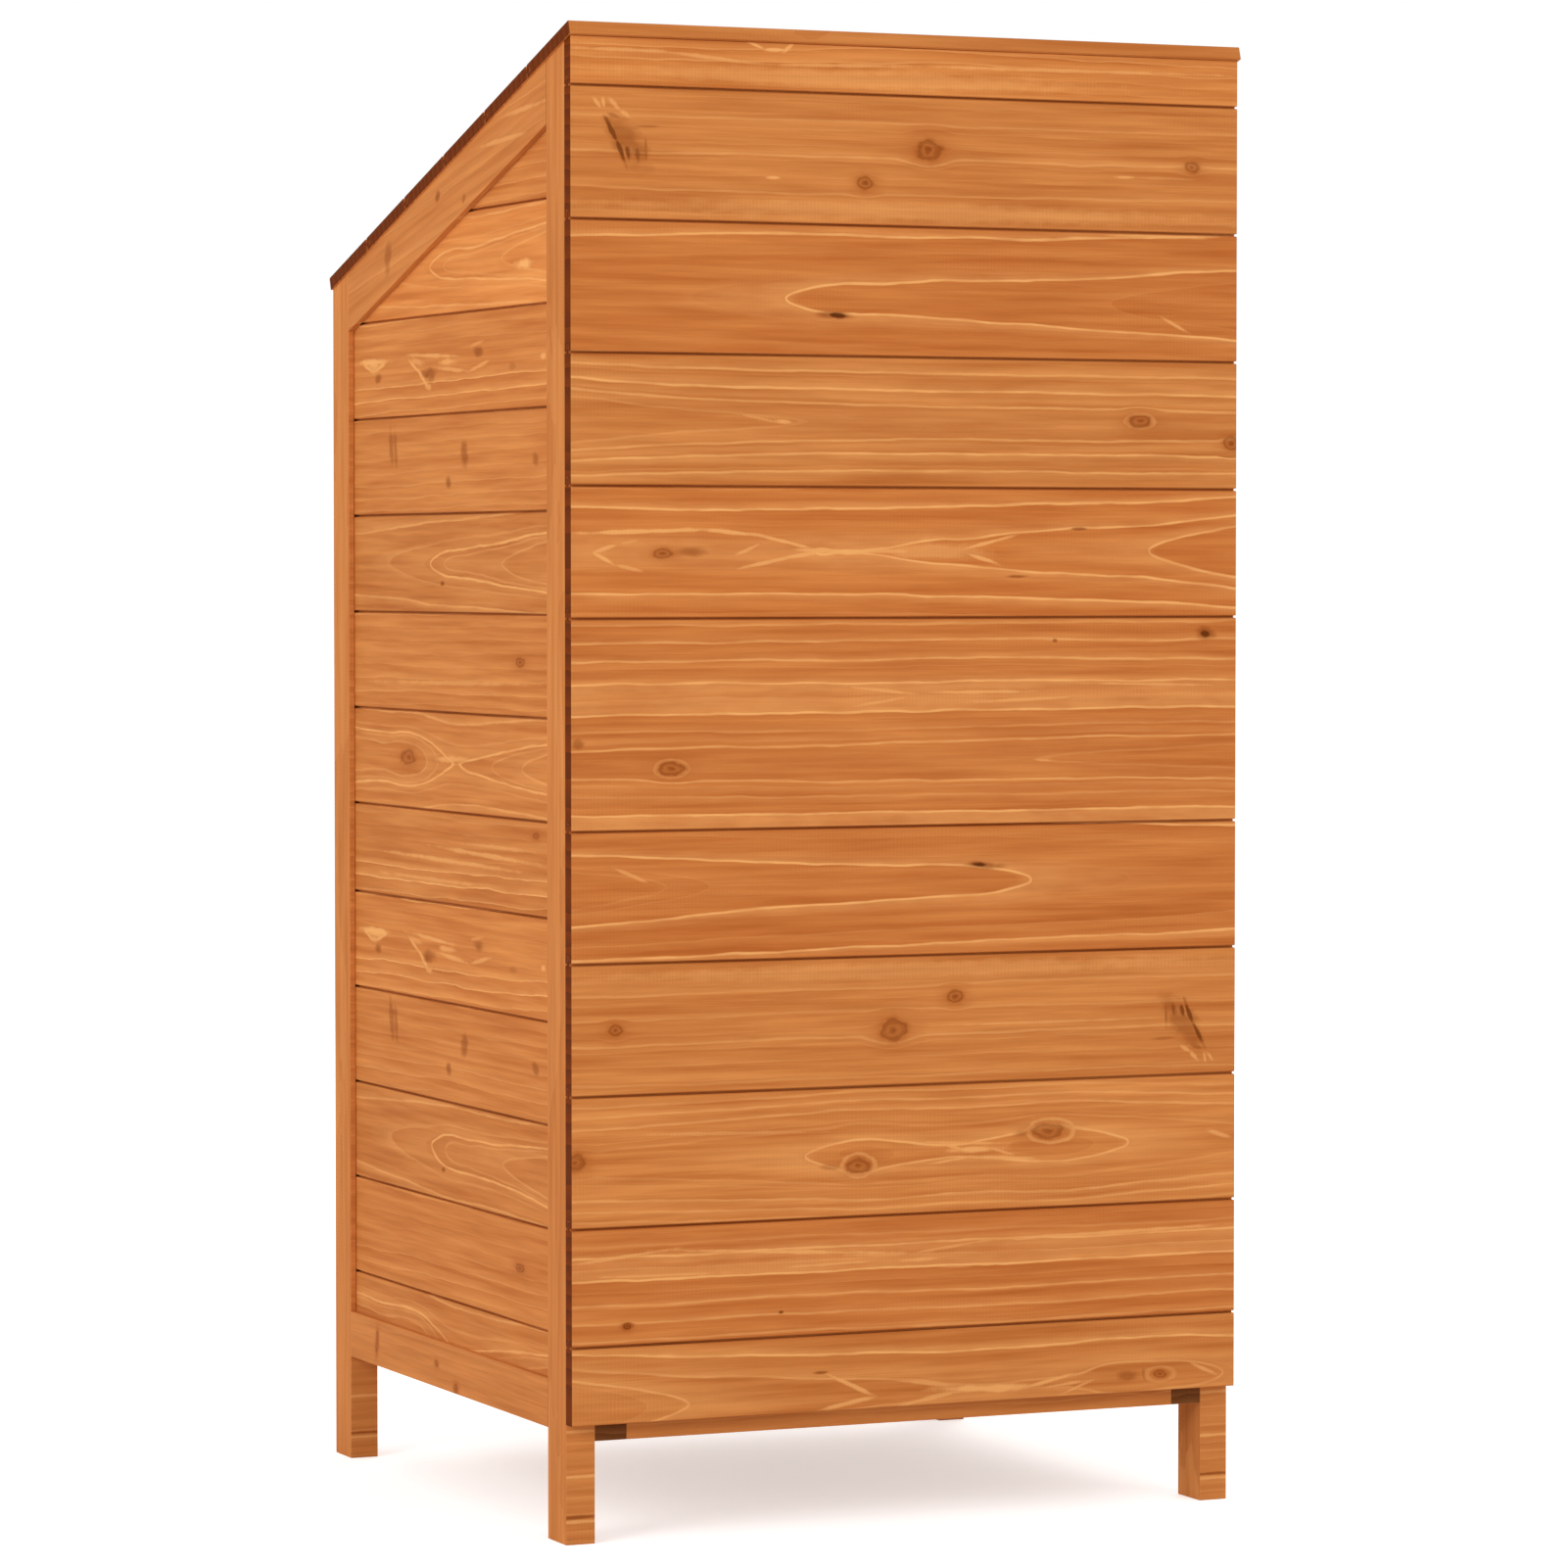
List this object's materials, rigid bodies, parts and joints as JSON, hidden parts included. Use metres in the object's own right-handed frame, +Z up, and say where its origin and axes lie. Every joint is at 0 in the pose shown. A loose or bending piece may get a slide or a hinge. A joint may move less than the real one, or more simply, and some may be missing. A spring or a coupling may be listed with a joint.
{
  "type": "garden storage cabinet",
  "caption": "Small wooden garden cabinet on four legs, with framed and boarded sides, a sloping roof, slatted shelves and a hinged front door with a slide bolt.",
  "frame": {"origin": "on the ground, in the middle of the whole object's outline with the door shut and the bolt drawn back", "axes": "+Z up; -Y towards the door, so that someone who faces the door looks along +Y and has +X on the right; the hinges are on the -X side"},
  "size_m": [0.553, 0.5458, 1.1198],
  "materials": {
    "stained_fir_boards": "planed tongued boards with an orange-brown wood stain",
    "stained_fir_frame": "planed battens with an orange-brown wood stain",
    "bare_fir": "planed, thinly stained on the inside",
    "roofing_felt": "bitumen felt with mineral granules",
    "galvanised_steel": "hot-dip galvanised, matt"
  },
  "bodies": {
    "carcass": {"back_board_01": "stained_fir_boards", "back_board_02": "stained_fir_boards", "back_board_03": "stained_fir_boards", "back_board_04": "stained_fir_boards", "back_board_05": "stained_fir_boards", "back_board_06": "stained_fir_boards", "back_board_07": "stained_fir_boards", "back_board_08": "stained_fir_boards", "back_board_09": "stained_fir_boards", "back_board_10": "stained_fir_boards", "back_board_11": "stained_fir_boards", "bolt_keeper": "galvanised_steel", "door_stop": "bare_fir", "floor_bearer_left": "bare_fir", "floor_bearer_right": "bare_fir", "floor_boards": "bare_fir", "front_bottom_rail": "stained_fir_frame", "front_post_left": "stained_fir_frame", "front_post_right": "stained_fir_frame", "lintel": "stained_fir_frame", "lower_hinge_pin": "galvanised_steel", "lower_hinge_post_leaf": "galvanised_steel", "lower_shelf": "bare_fir", "lower_shelf_batten_left": "bare_fir", "lower_shelf_batten_right": "bare_fir", "rear_bottom_rail": "bare_fir", "rear_post_left": "stained_fir_frame", "rear_post_right": "stained_fir_frame", "rear_top_rail": "bare_fir", "roof_boards": "stained_fir_boards", "roof_felt": "roofing_felt", "side_boards_left": "stained_fir_boards", "side_boards_right": "stained_fir_boards", "side_bottom_rail_left": "stained_fir_frame", "side_bottom_rail_right": "stained_fir_frame", "side_top_rail_left": "stained_fir_frame", "side_top_rail_right": "stained_fir_frame", "upper_hinge_pin": "galvanised_steel", "upper_hinge_post_leaf": "galvanised_steel", "upper_shelf": "bare_fir", "upper_shelf_batten_left": "bare_fir", "upper_shelf_batten_right": "bare_fir"},
    "door": {"bolt_plate": "galvanised_steel", "door_boards": "stained_fir_boards", "door_bottom_rail": "stained_fir_frame", "door_stile_left": "stained_fir_frame", "door_stile_right": "stained_fir_frame", "door_top_rail": "stained_fir_frame", "lower_hinge_door_leaf": "galvanised_steel", "upper_hinge_door_leaf": "galvanised_steel"},
    "bolt": {"bolt_knob": "galvanised_steel", "slide_bolt": "galvanised_steel"}
  },
  "joints": [
    {"name": "door_hinge", "type": "hinge", "parent": "carcass", "child": "door", "pos_m": [-0.2505, -0.2531, 0.51378], "axis": [0, 0, -1], "range_deg": [0, 170]},
    {"name": "bolt_slide", "type": "slide", "parent": "door", "child": "bolt", "axis": [1, 0, 0], "range_m": [0, 0.016]}
  ]
}
